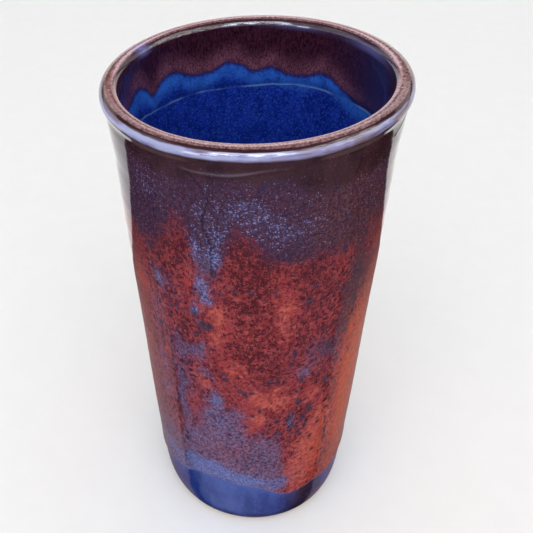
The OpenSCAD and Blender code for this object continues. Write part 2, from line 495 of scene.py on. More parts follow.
CORAL = back_fill([
    (14, 173, 4.5, 8, 0.75), (14, 158, 4, 9, 0.30), (-15, 166, 3.6, 14, 0.70), (-16, 150, 4, 6, 0.45), (-6, 136, 6, 9, 0.55),
    (-25, 128, 4.5, 7, 0.8), (-20, 121, 5, 3, 0.5), (2, 97, 5, 5, 0.95), (3, 112, 5, 8, 0.7), (13, 110, 8, 9, 0.8),
    (11, 122, 6, 4, 0.5), (33, 58, 10, 25, 1.05), (37, 90, 6, 14, 0.85), (24, 48, 4.5, 10, 0.85), (30, 111, 7, 6, 0.6),
    (-30, 107, 6, 5, 0.5), (-37, 195, 4.5, 5, 0.55), (0, 197, 6, 4, 0.3), (-32, 172, 5, 6, 0.25), (36, 186, 4, 6, 0.4),
    (26, 76, 4, 6, 0.5), (18, 150, 4, 8, 0.2), (-42, 165, 5, 8, 0.3)],
    11, 26, 70, 200, (7, 15), (10, 26), (0.4, 0.95))
ORANGE = back_fill([(57, 98, 11, 54, 1.0), (68, 110, 12, 60, 0.9), (36, 60, 6, 24, 0.35), (50, 146, 5, 7, 0.45),
                    (-60, 170, 5, 8, 0.4)], 12, 8, 60, 150, (8, 14), (14, 30), (0.3, 0.7))
PURPLE = back_fill([
    (-32, 72, 8, 16, 1.0), (-20, 78, 8, 17, 0.9), (-9, 86, 7, 15, 0.9), (4, 72, 7, 15, 1.1), (13, 66, 6, 15, 1.1), (-6, 62, 9, 10, 0.7),
    (-8, 104, 4.5, 7, 0.6), (-18, 96, 6, 8, 0.7), (-37, 106, 4, 28, 0.75), (-18, 111, 4, 9, 0.9), (-32, 142, 6, 7, 0.7),
    (-23, 144, 5, 6, 0.75), (-21, 131, 5, 4, 0.5), (-22, 160, 2, 5, 0.5), (-24, 171, 2, 4, 0.7), (-20, 184, 3.5, 9, 0.95),
    (-18, 205, 6, 12, 0.95), (-44, 180, 4, 4, 0.7), (30, 142, 7, 7, 0.65), (38, 139, 6, 9, 0.6), (44, 150, 4, 14, 0.5),
    (47, 182, 6, 26, 0.6), (56, 172, 8, 26, 0.35), (12, 206, 7, 6, 0.7), (20, 208, 8, 7, 0.65), (34, 206, 10, 9, 0.5),
    (25, 128, 3, 5, 0.5), (20, 96, 3, 5, 0.5), (-50, 208, 10, 12, 0.6), (-48, 118, 5, 42, 0.45), (-58, 100, 12, 50, 0.40),
    (-60, 52, 15, 22, 1.0), (-54, 40, 15, 12, 1.1), (-46, 54, 8, 14, 0.9), (-29, 48, 13, 12, 1.2), (-8, 47, 12, 12, 1.2), (8, 45, 10, 11, 1.1),
    (16, 43, 6, 6, 0.9), (-40, 168, 13, 32, 0.34), (-29, 116, 13, 20, 0.30), (30, 168, 12, 26, 0.20), (24, 128, 12, 10, 0.18),
    (-12, 190, 5, 14, 0.15), (52, 176, 10, 22, 0.25)],
    13, 26, 60, 205, (6, 14), (8, 22), (0.5, 1.0))
MILK = back_fill([
    (-18, 51, 6, 7, 1.2), (-28, 50, 9, 7, 1.0), (-37, 50, 5, 7, 0.85), (-6, 47, 9, 6, 0.75), (6, 45, 9, 5, 0.6),
    (16, 43, 6, 5, 0.45), (-18, 111, 3.4, 7, 0.75), (-19, 179, 2.4, 4, 1.0), (-19.5, 187, 2.8, 4, 0.7), (-22, 189, 2.4, 3, 0.5),
    (-15, 203, 3.4, 5, 0.95), (-22, 206, 2.6, 7, 0.88), (-13, 212, 4, 5, 0.6), (-43, 180, 3.5, 2.5, 0.6),
    (-24, 171, 1.8, 2.5, 0.7), (-5, 225, 9, 6, 0.50), (4, 219, 7, 8, 0.42), (14, 215, 8, 6, 0.36), (24, 217, 9, 7, 0.30),
    (-18, 221, 6, 8, 0.36), (-28, 76, 9, 12, 0.32), (-17, 92, 3.5, 8, 0.42), (4, 72, 4, 7, 0.22), (20, 95, 2.5, 3, 0.5),
    (-50, 46, 8, 8, 0.7), (-62, 46, 8, 9, 0.5), (-21, 130, 4, 3, 0.45), (-42, 229, 9, 9, 0.36), (46, 180, 5, 18, 0.14)],
    14, 24, 40, 225, (4, 12), (5, 12), (0.3, 0.7))
SPOT = back_fill([
    (24, 96, 6, 12, 0.6), (38, 112, 5, 9, 0.5), (32, 170, 8, 18, 0.75), (2, 188, 9, 22, 0.80), (2, 150, 9, 16, 0.75),
    (-32, 150, 9, 18, 0.8), (-40, 185, 9, 20, 0.7), (-24, 124, 7, 10, 0.6), (-30, 205, 6, 14, 0.6), (12, 104, 6, 6, 0.2),
    (28, 141, 7, 9, 0.4), (38, 136, 7, 10, 0.4), (-3, 206, 9, 13, 1.2), (44, 165, 6, 24, 0.6), (54, 172, 9, 24, 0.6), (6, 66, 12, 16, 0.80), (-36, 200, 9, 10, 0.4), (12, 134, 8, 8, 0.7),
    (-36, 100, 6, 24, 0.7), (14, 84, 5, 6, 0.6), (24, 196, 10, 10, 0.8), (20, 160, 4, 14, 0.5)],
    15, 30, 60, 205, (5, 12), (6, 18), (0.4, 1.0))
# Single dark spots where the glaze has pooled, larger and softer than the mottle.
BLOT = back_fill([
    (-21, 161, 2.0, 2.4, 1.1), (-24.5, 169, 1.6, 2.8, 0.9), (-25, 155, 1.7, 1.9, 0.9), (-18.5, 162, 1.5, 1.5, 0.7),
    (-15, 194, 1.5, 3.0, 1.0), (-13, 132, 1.2, 1.4, 0.9), (-12, 128, 1.7, 1.5, 1.0), (-5.5, 121, 1.5, 1.5, 0.9),
    (-3, 118, 1.4, 2.4, 1.0), (0.5, 119.5, 1.5, 1.2, 0.9), (-8, 124, 1.4, 1.1, 0.7), (8, 127.5, 1.8, 2.2, 0.7),
    (12, 127, 1.5, 2.0, 0.8), (19, 145, 1.5, 2.8, 0.9), (17.5, 139, 1.2, 1.8, 0.6), (28, 136, 1.5, 1.5, 0.8),
    (32, 155, 1.5, 1.8, 0.7), (41.5, 150, 1.5, 2.8, 0.8), (43, 129, 1.7, 2.0, 0.8), (38, 119, 1.9, 2.4, 1.0),
    (39, 114, 1.2, 1.2, 0.6), (23, 109, 1.7, 3.0, 0.9), (22, 117, 1.3, 1.5, 0.7), (24, 126, 1.7, 2.4, 0.7),
    (33, 126, 1.4, 1.7, 0.6), (29, 103, 1.9, 2.4, 0.9), (31, 100, 1.0, 1.2, 0.8), (19, 98, 2.1, 2.6, 0.9),
    (20, 93, 2.3, 2.4, 0.8), (26.5, 96, 1.7, 2.2, 1.0), (28, 89, 1.3, 2.4, 0.9), (25, 86, 1.2, 2.0, 0.9),
    (26, 82.5, 1.2, 1.2, 0.9), (21, 86, 1.2, 1.3, 0.9), (12.5, 97, 1.7, 1.7, 0.8), (13, 88, 1.9, 1.9, 0.85),
    (7, 95, 1.0, 1.9, 0.7), (9.5, 92, 1.1, 1.3, 0.7), (6, 88, 1.3, 1.9, 0.7), (36, 86.5, 1.2, 1.7, 0.85),
    (32, 78, 1.3, 1.7, 0.9), (24, 71, 1.5, 1.2, 0.8), (35, 64.5, 1.6, 2.6, 0.6), (43, 68, 1.3, 1.7, 1.0),
    (42, 77, 1.1, 1.5, 0.9), (42.5, 58, 1.2, 1.9, 0.8), (40, 46.5, 1.5, 1.3, 0.8), (26, 46.5, 0.9, 1.5, 0.7),
    (29, 47, 0.9, 1.3, 0.6), (40, 95, 1.3, 1.0, 0.7), (45, 102, 1.4, 1.3, 0.6), (45.5, 86, 1.3, 1.5, 0.5),
    (0.5, 102.5, 1.3, 1.3, 0.8), (4, 106, 1.1, 1.9, 0.8), (-12, 106, 1.5, 2.8, 0.6), (-26, 109, 1.5, 1.5, 0.5),
    (-38.5, 159, 1.4, 1.7, 0.7), (-37, 167, 1.2, 1.2, 0.6), (-31, 167.5, 1.3, 1.2, 0.7), (-34, 168, 1.0, 1.3, 0.6),
    (-46, 196, 2.3, 2.4, 0.8), (-40, 186, 1.5, 2.8, 0.5), (-36, 184, 1.2, 1.9, 0.5), (-30, 177, 1.2, 1.5, 0.5),
    (-34, 121, 1.5, 2.4, 0.6), (-31, 133, 1.5, 1.5, 0.6), (-24, 130, 2.2, 1.5, 0.6), (16.5, 192, 1.2, 1.0, 0.6),
    (24, 176, 2.0, 2.8, 0.7), (26, 184, 1.5, 1.5, 0.6), (9.5, 184, 1.2, 1.9, 0.6), (0, 184, 1.0, 2.4, 0.7),
    (-6.5, 185, 1.2, 1.5, 0.6), (38, 199, 1.9, 3.6, 0.6), (41, 176, 1.3, 3.6, 0.6), (35, 183, 1.3, 2.2, 0.5),
    (41, 160, 1.2, 2.8, 0.6), (52, 128, 1.6, 1.6, 0.5), (50, 84, 1.4, 1.6, 0.4), (-52, 150, 1.8, 2.0, 0.5)],
    16, 110, 44, 205, (1.2, 2.3), (1.2, 3.2), (0.5, 1.1))


def drift(th, z, k=1.0):
    """Moves the patches' edges about, so that they run ragged."""
    t2 = th + k * (3.2 * fractal(th, z, 15.0, 91) + 1.8 * value_noise(th, z, 3.4, 92))
    z2 = z + k * (4.5 * fractal(th, z, 14.0, 93) + 2.2 * value_noise(th, z, 3.6, 94))
    return t2, z2


def zone_top(th):
    """Height above which the coat turns dark over the shoulder."""
    return 232 + 4 * fractal(th, 0 * th, 20.0, 41) + 1 * bump(th, -33, 22) - 4 * bump(th, 28, 15) - 6 * bump(th, 62, 26)


def red_top(th):
    """Height above which the mottled red gives way to grey-purple."""
    return (207 + 12 * bump(th, -30, 8) + 11 * bump(th, -4, 6) - 7 * bump(th, -17, 5) + 6 * bump(th, 26, 10)
            + 3 * fractal(th, 0 * th, 9.0, 42))


a_coral = lambda th, z, i, s: np.clip(blobs(*drift(th, z), CORAL) + 0.22 * fractal(th, z, 7.0, 51), 0, 1.1)
a_orange = lambda th, z, i, s: np.clip(blobs(*drift(th, z, 0.8), ORANGE) + 0.12 * fractal(th, z, 14.0, 52), 0, 1)
a_purple = lambda th, z, i, s: np.clip(
    blobs(*drift(th, z), PURPLE) + 1.1 * smooth(z, red_top(th) - 17, red_top(th) + 13)
    + 0.16 * fractal(th, z, 8.0, 54), 0, 1.1)
a_milk = lambda th, z, i, s: np.clip(
    blobs(*drift(th, z, 0.8), MILK) * (1 + 0.4 * fractal(th, z, 5.0, 55))
    + 0.55 * np.exp(-np.clip((z - drip(th)) / 7, 0, 9) ** 1.4)
    * (1 - 0.85 * smooth(wrap(th), 18, 27) * (1 - smooth(wrap(th), 70, 85))), 0, 1)
a_spot = lambda th, z, i, s: np.clip(0.36 + blobs(*drift(th, z, 0.7), SPOT) - 0.30 * np.clip(blobs(th, z, CORAL), 0, 1)
                                     - 0.45 * np.clip(blobs(th, z, ORANGE), 0, 1) + 0.25 * fractal(th, z, 8.0, 56), -0.5, 1.3)
a_dark = lambda th, z, i, s: np.clip(smooth(drift(th, z, 0.8)[1], zone_top(th), zone_top(th) + 14), 0, 1)
a_blot = lambda th, z, i, s: np.clip(1.25 * blobs(*drift(th, z, 0.22), BLOT), 0, 1.2)
a_warm = lambda th, z, i, s: np.clip(smooth(wrap(th), 10, 38) * (1 - smooth(wrap(th), 75, 100)) + 0.7 * bump(th, 150, 34)
                                     + 0.6 * bump(th, -112, 24) + 0.25 * fractal(th, z, 16.0, 64), 0, 1)
a_roll = lambda th, z, i, s: i
a_edge = lambda th, z, i, s: z - drip(th)
# the lavender band's pattern: partly glaze, partly painted sky reflection, brighter in front and streaked dark to the
# right like reflected trees
a_lavender_and_sky_reflection = lambda th, z, i, s: np.clip(
    0.62 + 0.75 * fractal(th, i * 5.0, (16.0, 4.0), 57) + 0.20 * value_noise(th, i * 5.0, (2.2, 30.0), 58)
    - 0.60 * bump(th, 43, 20) * (0.70 + 1.1 * fractal(th, i * 9.0, (7.0, 3.0), 59)) + 0.12 * bump(th, -5, 22), 0, 1)
a_wob = lambda th, z, i, s: 0.5 * fractal(th, 0 * th, 22.0, 60) + 0.12 * value_noise(th, 0 * th, 2.5, 61)


def line_through(th, z, rows, width):
    """A thin soft line up the wall through the (height, angle) points, wandering a little."""
    hs, an = [r[0] for r in rows], [r[1] for r in rows]
    mid = np.interp(z, hs, an) + 0.75 * value_noise(0 * z + 7.0, z, 3.4, 58) + 0.35 * value_noise(0 * z + 9.0, z, 1.3, 59)
    on = smooth(z, hs[0] - 2, hs[0] + 3) * (1 - smooth(z, hs[-1] - 3, hs[-1] + 2))
    return np.exp(-(wrap(th - mid) / width) ** 2) * on


# painted dark reflections: a reflected branch line on the upper front, and the ledge's front edge at about -41 and +42
# degrees
a_painted_reflection_lines = lambda th, z, i, s: np.clip(
    line_through(th, z, [(192, -15), (200, -16.5), (208, -15.5), (216, -18.5), (224, -18), (230, -16), (236, -18.5), (243, -23)], 0.34)
    + 0.5 * line_through(th, z, [(214, 31), (224, 28), (232, 29.5), (240, 27)], 0.32)
    + 0.75 * line_through(th, z, [(46, -41), (70, -41.6), (100, -40.6), (132, -41)], 0.7)
    * (0.8 + 0.6 * value_noise(th, z, 3.0, 62))
    + 0.8 * line_through(th, z, [(42, 43.5), (70, 42.4), (100, 42.2), (124, 41.6)], 0.7)
    * (0.75 + 0.8 * value_noise(th, z, 3.0, 63)), 0, 1)
# brick-red patches on the rim, made darker to stand in for a dark reflected line: partly glaze colour, partly painted
# reflection
a_brick_and_dark_reflection = lambda th, z, i, s: np.clip(1.5 * bump(th, -79, 18) + 0.6 * bump(th, -150, 12) + 0.5 * bump(th, 84, 6)
                                      + 0.5 * bump(th, 150, 10), 0, 1) * smooth(i, 18.9, 19.3) * (1 - smooth(i, 20.3, 20.9))
a_lipmilk = lambda th, z, i, s: np.clip(
    bump(th, -119.5, 4.2) * smooth(i, 19.3, 19.8) * (1 - smooth(i, 22.9, 23.4))
    + 0.8 * bump(th, 116, 14) * smooth(i, 21.8, 22.4) * (1 - smooth(i, 23.1, 23.6))
    + 0.5 * bump(th, 158, 12) * smooth(i, 21.9, 22.4) * (1 - smooth(i, 22.9, 23.4)), 0, 1)
a_cool = lambda th, z, i, s: np.clip(bump(th, 104, 22) + 0.25 * bump(th, -100, 14) + 0.8 * bump(th, 20, 30), 0, 1) * (
    i > 20.5)
OUT_ATTRS = {"coral": a_coral, "orange": a_orange, "purple": a_purple, "milk": a_milk, "spot": a_spot,
             "dark": a_dark, "blot": a_blot, "warm": a_warm, "roll": a_roll, "edge": a_edge, "painted_reflection_lines": a_painted_reflection_lines, "lavender_and_sky_reflection": a_lavender_and_sky_reflection, "wob": a_wob,
             "below": lambda th, z, i, s: 0 * z + 20.0}
a_below = lambda th, z, i, s: z - inner_line(th) - 0.45 * fractal(th, z, (3.0, 9.0), 61)
a_lip = lambda th, z, i, s: z - dip(th)
IN_ATTRS = {"roll": a_roll, "lavender_and_sky_reflection": a_lavender_and_sky_reflection, "wob": a_wob, "below": a_below, "lipedge": a_lip, "brick_and_dark_reflection": a_brick_and_dark_reflection, "lipmilk": a_lipmilk, "cool": a_cool}


# ---------------------------------------------------------------- materials
def red_inside(t):
    """Dark oxblood that runs in fine vertical streaks, brightening where it thins above the blue."""
    streak = t.noise(1.0, 3, 0.6, t.scaled(1000, 1000, 380))
    fine = t.noise(1.0, 3, 0.65, t.scaled(1900, 1900, 1000))
    wide = t.noise(1.0, 2, 0.5, t.scaled(110, 110, 70))
    low = t.attr("below")
    near = t.mul(t.step(low, 0.0, 12.5, 1.0, 0.0), t.step(low, -0.5, 3.5, 0.45, 1.0))
    col = t.mix(t.step(streak, 0.36, 0.66), (0.016, 0.003, 0.007), (0.040, 0.010, 0.018))
    bright = t.mul(t.mul(near, t.step(fine, 0.36, 0.62, 0.15, 1.0)), t.step(wide, 0.34, 0.60, 0.55, 1.0))
    col = t.mix(bright, col, (0.205, 0.076, 0.118))
    col = t.mix(t.mul(t.step(fine, 0.58, 0.72), 0.4), col, (0.095, 0.050, 0.110))
    return t.mix(t.mul(t.attr("cool"), t.step(fine, 0.3, 0.7, 0.6, 0.95)), col, (0.015, 0.015, 0.056))


def blue_inside(t):
    """Deep cobalt, finely curdled, with a lighter cloud under the red."""
    cloud = t.noise(1.0, 2, 0.5, t.scaled(200, 200, 120))
    curd = t.noise(900, 3, 0.62, None, 0.4)
    low = t.attr("below")
    col = t.mix(t.step(cloud, 0.3, 0.7), (0.004, 0.017, 0.205), (0.009, 0.031, 0.320))
    glow = t.mul(t.mul(t.step(low, -10.5, -3.0), t.step(low, -2.5, 0.3, 1.0, 0.40)), t.step(cloud, 0.30, 0.62, 0.55, 1.0))
    col = t.mix(glow, col, (0.024, 0.118, 0.52))
    col = t.mix(t.step(curd, 0.50, 0.66, 0.0, 0.55), col, (0.032, 0.105, 0.44))
    return t.mix(t.step(curd, 0.48, 0.34, 0.0, 0.50), col, (0.002, 0.008, 0.100))


def rim_colour(t, below):
    """The roll's bands, from the neck over the crest: dark, milky lavender (partly glaze colour, partly painted sky
    reflection), a dark line, tan (with brick-red patches partly darkened as painted reflection), and dark inside.
    """
    i = t.add(t.attr("roll"), t.mul(t.attr("wob"), 0.55))
    grain = t.noise(1050, 3, 0.65)
    fine = t.noise(2600, 1, 0.5)
    tan = t.mix(t.step(grain, 0.36, 0.66), (0.066, 0.024, 0.027), (0.275, 0.152, 0.158))
    tan = t.mix(t.mul(t.step(fine, 0.60, 0.74), 0.5), tan, (0.38, 0.25, 0.25))
    # brick-red patch, partly painted dark reflection
    tan = t.mix(t.mul(t.attr("brick_and_dark_reflection"), t.step(grain, 0.35, 0.6, 0.5, 0.95)), tan, (0.125, 0.022, 0.015))
    # lavender band: partly the glaze's milky lavender, partly painted sky reflection
    lavender_and_sky_reflection = t.mix(t.step(t.attr("lavender_and_sky_reflection"), 0.12, 0.62), (0.125, 0.078, 0.086), (0.180, 0.175, 0.325))
    lavender_and_sky_reflection = t.mix(t.step(t.attr("lavender_and_sky_reflection"), 0.62, 1.0), lavender_and_sky_reflection, (0.27, 0.29, 0.47))
    lavender_and_sky_reflection = t.mix(t.step(grain, 0.58, 0.70, 0.0, 0.35), lavender_and_sky_reflection, (0.10, 0.075, 0.15))
    col = t.mix(t.step(i, 15.75, 16.35), below, lavender_and_sky_reflection)
    col = t.mix(t.step(i, 17.50, 17.86), col, (0.026, 0.004, 0.007))
    col = t.mix(t.step(i, 18.32, 18.66), col, tan)
    col = t.mix(t.step(i, 20.80, 21.15), col, red_inside(t))
    return t.mix(t.mul(t.attr("lipmilk"), t.step(grain, 0.34, 0.6, 0.5, 0.95)), col, (0.15, 0.15, 0.34))


def mottled_red(name):
    t = Tree(name)
    n1 = t.noise(700, 6.0, 0.80)
    n2 = t.noise(1500, 2, 0.6)
    n3 = t.noise(1.0, 3, 0.55, t.scaled(115, 115, 70))
    n4 = t.noise(400, 5, 0.74)
    z = t.attr("edge")
    purple, milk, coral, orange = t.attr("purple"), t.attr("milk"), t.attr("coral"), t.attr("orange")

    def ragged(v, amount, lo, hi, n):
        """A patch whose edge breaks up into specks."""
        return t.step(t.add(v, t.mul(t.sub(n, 0.5), amount)), lo, hi)

    # the red itself
    red = t.mix(t.step(n3, 0.34, 0.66), (0.165, 0.019, 0.023), (0.255, 0.034, 0.037))
    red = t.mix(t.mul(t.step(n4, 0.46, 0.66), 0.7), red, (0.350, 0.074, 0.070))
    coral_c = t.mix(t.step(n4, 0.38, 0.64), (0.255, 0.041, 0.036), (0.41, 0.088, 0.070))
    red = t.mix(ragged(coral, 1.3, 0.20, 0.85, n4), red, coral_c)
    red = t.mix(t.mul(orange, 0.85), red, t.mix(t.step(n4, 0.3, 0.7), (0.330, 0.046, 0.016), (0.50, 0.081, 0.028)))
    red = t.mix(t.step(z, 138.0, 176.0, 0.0, 0.38), red, (0.100, 0.010, 0.014))
    # grey-purple where the blue shows through, darker towards the shoulder, browner to the right
    haze = t.mix(t.step(n1, 0.40, 0.60), (0.034, 0.024, 0.072), (0.172, 0.130, 0.245))
    cool_up = t.mix(t.step(n1, 0.40, 0.60), (0.017, 0.008, 0.020), (0.050, 0.025, 0.052))
    warm_up = t.mix(t.step(n1, 0.40, 0.60), (0.024, 0.009, 0.011), (0.084, 0.033, 0.036))
    haze = t.mix(t.step(t.add(z, t.mul(t.attr("warm"), 52.0)), 135.0, 172.0), haze, t.mix(t.attr("warm"), cool_up, warm_up))
    n5 = t.noise(860, 4, 0.72, t.scaled(1.0, 1.0, 0.9, (0.7, 0.4, 0.1)))
    col = t.mix(t.mul(ragged(purple, 2.6, 0.15, 0.95, n5), 0.94), red, haze)
    ember = t.mul(t.mul(t.step(t.noise(640, 5, 0.8, t.scaled(1.0, 1.0, 1.0, (0.5, 0.9, 0.3))), 0.525, 0.575), t.step(z, 60.0, 30.0)),
                  t.step(purple, 0.3, 0.9))
    col = t.mix(t.mul(ember, t.step(milk, 0.2, 0.6, 0.75, 0.05)), col, (0.270, 0.075, 0.060))
    # dark mottle, fine and coarse together
    cut = t.add(t.mul(t.attr("spot"), -0.060), 0.548)
    cut = t.add(cut, t.mul(t.math("MAXIMUM", coral, orange), 0.036))
    fine_dark = t.step(t.sub(t.noise(560, 7, 0.86, t.scaled(1.0, 1.0, 0.8, (0.3, 0.1, 0.2))), cut), -0.022, 0.030)
    fine_dark = t.mul(fine_dark, t.step(purple, 0.2, 1.0, 1.0, 0.62))
    dot_col = t.mix(purple, (0.036, 0.005, 0.009), (0.026, 0.014, 0.044))
    col = t.mix(t.mul(fine_dark, t.step(orange, 0.3, 1.0, 0.90, 0.45)), col, dot_col)
    # rounder specks, and the larger soft spots
    small = t.spots(420, t.add(t.mul(t.attr("spot"), 0.55), 0.12), 0.16, 0.44)
    big = t.spots(215, t.mul(t.attr("spot"), 0.30), 0.20, 0.44, 0.5)
    speck_col = t.mix(t.step(t.add(purple, t.mul(t.sub(n3, 0.5), 0.8)), 0.25, 0.75), (0.040, 0.006, 0.011), (0.026, 0.016, 0.046))
    col = t.mix(t.mul(t.math("MAXIMUM", big, small), t.step(n1, 0.3, 0.55, 0.66, 0.95)), col, speck_col)
    pool = ragged(t.attr("blot"), 1.5, 0.18, 0.68, n1)
    pool_col = t.mix(t.step(n1, 0.42, 0.64), (0.024, 0.010, 0.022), (0.066, 0.042, 0.078))
    pool_col = t.mix(orange, pool_col, (0.060, 0.010, 0.010))
    col = t.mix(t.mul(pool, 0.86), col, pool_col)
    # pale crystals
    light = t.mul(t.step(n2, 0.62, 0.72), t.step(n4, 0.3, 0.6, 0.3, 0.9))
    col = t.mix(t.mul(light, 0.6), col, t.mix(purple, (0.42, 0.140, 0.125), (0.27, 0.22, 0.40)))
    # dark brown over the shoulder
    dark = t.attr("dark")
    neck = t.mix(t.step(n3, 0.3, 0.7), (0.018, 0.006, 0.008), (0.038, 0.014, 0.017))
    col = t.mix(t.mul(ragged(dark, 1.1, 0.10, 0.90, n1), 0.90), col, neck)
    # milky blue clouds and specks
    high = t.step(z, 140.0, 168.0)
    sp = t.step(t.sub(t.noise(1100, 4, 0.72), t.add(t.mul(milk, -0.15), 0.640)), -0.015, 0.05)
    amt = t.math("MAXIMUM", t.step(milk, 0.03, 0.30), 0.04)
    amt = t.math("MAXIMUM", amt, t.mul(t.mul(purple, t.step(dark, 0.2, 1.0, 0.60, 0.25)), high))
    col = t.mix(t.mul(sp, amt), col, (0.170, 0.185, 0.41))
    stars = t.spots(900, t.add(t.mul(milk, 0.60), 0.16), 0.12, 0.36)
    stars = t.mul(stars, t.mul(t.mul(high, t.step(purple, 0.15, 0.75)), t.step(dark, 0.1, 1.0, 0.85, 0.25)))
    col = t.mix(stars, col, t.mix(t.attr("warm"), (0.20, 0.20, 0.42), (0.20, 0.15, 0.22)))
    cloud = t.mul(t.step(milk, 0.25, 1.1), t.mul(t.step(n1, 0.40, 0.60, 0.05, 0.90), t.step(z, 40.0, 180.0, 1.0, 0.45)))
    col = t.mix(cloud, col, t.mix(t.step(n4, 0.38, 0.62), (0.058, 0.090, 0.255), (0.106, 0.166, 0.400)))
    # painted dark reflection lines (branch and ledge edge)
    col = t.mix(t.mul(t.attr("painted_reflection_lines"), 0.95), col, (0.012, 0.005, 0.014))
    # the coat's lower edge: a thin pale painted highlight along its rounded rim
    col = t.mix(t.mul(t.step(z, 0.2, 2.6, 1.0, 0.0), t.step(t.attr("warm"), 0.2, 0.7, 0.75, 0.45)), col, (0.075, 0.120, 0.34))
    col = rim_colour(t, col)
    t.bump(t.add(t.noise(330, 2, 0.5), t.mul(n2, 0.25)), 0.00010, 0.35)
    return t.finish(col, t.step(n2, 0.3, 0.7, 0.04, 0.09))


def rim_material(name):
    t = Tree(name)
    col = rim_colour(t, (0.040, 0.010, 0.014))
    t.bump(t.add(t.noise(330, 2, 0.5), t.mul(t.noise(1300, 2, 0.6), 0.35)), 0.00012, 0.40)
    return t.finish(col, t.step(t.noise(900, 2, 0.5), 0.3, 0.7, 0.05, 0.12))


def inner_material(name):
    t = Tree(name)
    n = t.noise(1.0, 3, 0.6, t.scaled(900, 900, 450))
    low = t.add(t.attr("below"), t.mul(t.sub(n, 0.5), 3.2))
    red = t.mix(t.attr("lipmilk"), red_inside(t), (0.10, 0.10, 0.26))
    col = t.mix(t.step(low, -1.0, 1.4), blue_inside(t), red)
    col = t.mix(t.mul(t.step(low, -1.4, 0.0), t.step(low, 0.2, 1.6, 0.55, 0.0)), col, (0.010, 0.006, 0.050))
    # painted highlight: a thin pale line along the inner red coat's edge, laid over the shade of the step
    lip = t.add(t.attr("lipedge"), t.mul(t.sub(t.noise(90, 2, 0.5), 0.5), 1.6))
    line = t.mul(t.step(lip, -0.6, -0.1), t.step(lip, 0.6, 1.3, 1.0, 0.0))
    col = t.mix(t.mul(line, t.step(t.noise(60, 2, 0.5), 0.36, 0.56, 0.10, 0.80)), col, (0.12, 0.24, 0.54))
    t.bump(t.noise(300, 2, 0.5), 0.00010, 0.3)
    return t.finish(col, t.step(n, 0.3, 0.7, 0.05, 0.10))


def liner_material(name):
    t = Tree(name)
    col = blue_inside(t)
    t.bump(t.noise(260, 2, 0.5), 0.00010, 0.3)
    return t.finish(col, t.step(t.noise(700, 2, 0.5), 0.3, 0.7, 0.05, 0.10))


def foot_material(name):
    t = Tree(name)
    up = t.noise(1.0, 3, 0.55, t.scaled(170, 170, 62))
    mot = t.noise(520, 3, 0.6)
    col = t.mix(t.step(up, 0.34, 0.66), (0.009, 0.019, 0.120), (0.022, 0.040, 0.190))
    col = t.mix(t.mul(t.attr("milk"), t.step(up, 0.3, 0.7, 0.60, 1.0)), col, (0.066, 0.096, 0.285))
    col = t.mix(t.mul(t.attr("near"), t.step(mot, 0.3, 0.6, 0.35, 0.75)), col, (0.060, 0.110, 0.36))
    col = t.mix(t.mul(t.attr("umber"), t.step(mot, 0.3, 0.6, 0.75, 1.0)), col, (0.027, 0.013, 0.017))
    col = t.mix(t.mul(t.step(mot, 0.58, 0.74), 0.3), col, (0.12, 0.15, 0.38))
    col = t.mix(t.mul(t.step(t.attr("foot"), 0.2, 5.5, 1.0, 0.0), 0.55), col, (0.080, 0.050, 0.055))
    t.bump(t.noise(260, 2, 0.5), 0.00010, 0.3)
    return t.finish(col, t.step(mot, 0.3, 0.7, 0.05, 0.10))


def clay_material(name):
    t = Tree(name)
    grog = t.noise(1400, 3, 0.7)
    body = t.noise(120, 3, 0.6)
    rings = t.noise(1.0, 2, 0.5, t.scaled(40, 40, 1600))
    col = t.mix(t.step(body, 0.3, 0.7), (0.36, 0.235, 0.145), (0.50, 0.345, 0.225))
    col = t.mix(t.mul(t.step(grog, 0.60, 0.72), 0.75), col, (0.10, 0.055, 0.035))
    col = t.mix(t.mul(t.step(grog, 0.36, 0.26), 0.4), col, (0.62, 0.48, 0.35))
    col = t.mix(t.mul(t.attr("toast"), 0.7), col, (0.30, 0.125, 0.055))
    t.bump(t.add(t.mul(grog, 0.8), rings), 0.00025, 0.6)
    return t.finish(col, t.step(grog, 0.3, 0.7, 0.62, 0.85), 1.45)


M_RED, M_RIM = mottled_red("glaze_mottled_red"), rim_material("glaze_rim_tan")
M_INNER, M_LINER = inner_material("glaze_inner_oxblood"), liner_material("glaze_liner_cobalt")
M_FOOT, M_CLAY = foot_material("glaze_base_cobalt"), clay_material("bare_stoneware")


def place_piece(ob, node, mat):
    ob.data.materials.append(mat)
    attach(ob, "root")
    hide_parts(node)
    return ob


# ---------------------------------------------------------------- the pieces
COLS = 720


def rolled(d, w, t):
    """Thickness of a coat at distance d from its own edge: a rounded shoulder w wide."""
    x = np.clip(d / w, 0, 1)
    return t * np.sqrt(np.clip(1 - (1 - x) ** 2, 0, 1))


def off_outer(th, s):
    e = s_out(drip(th))
    d = s - e
    z = np.interp(s, PS, PZ)
    sag = 243.4 + 1.1 * np.sin(np.radians(5 * th + 20)) + 0.8 * np.sin(np.radians(11 * th)) + 0.6 * value_noise(th, 0 * th, 7.0, 65)
    fold = np.exp(-((z - sag) / 0.95) ** 2) * smooth(fractal(th, 0 * th, 14.0, 66) + 0.5 * bump(th, -14, 24), -0.05, 0.35)
    return (rolled(d, 3.0, OVER_T) + 0.12 * np.exp(-((d - 3.5) / 2.6) ** 2) * (d > 0)
            - 0.10 * smooth(d, 5, 12) * (1 - smooth(d, 15, 45)) + 0.20 * fold * (s < S_CREST))


def off_inner(th, s):
    e = s_in(dip(th))
    d = e - s
    return OVER_T * smooth(d, -0.4, 4.5)


def off_base(th, s):
    return -BASE_T + rolled(s, 1.2, BASE_T)


flat_off = lambda th, s: OVER_T + 0 * s
zero_off = lambda th, s: 0.0 * s
low_dense = lambda f: np.interp(f, [0, 0.05, 0.80, 1.0], [0, 0.009, 0.895, 1.0])

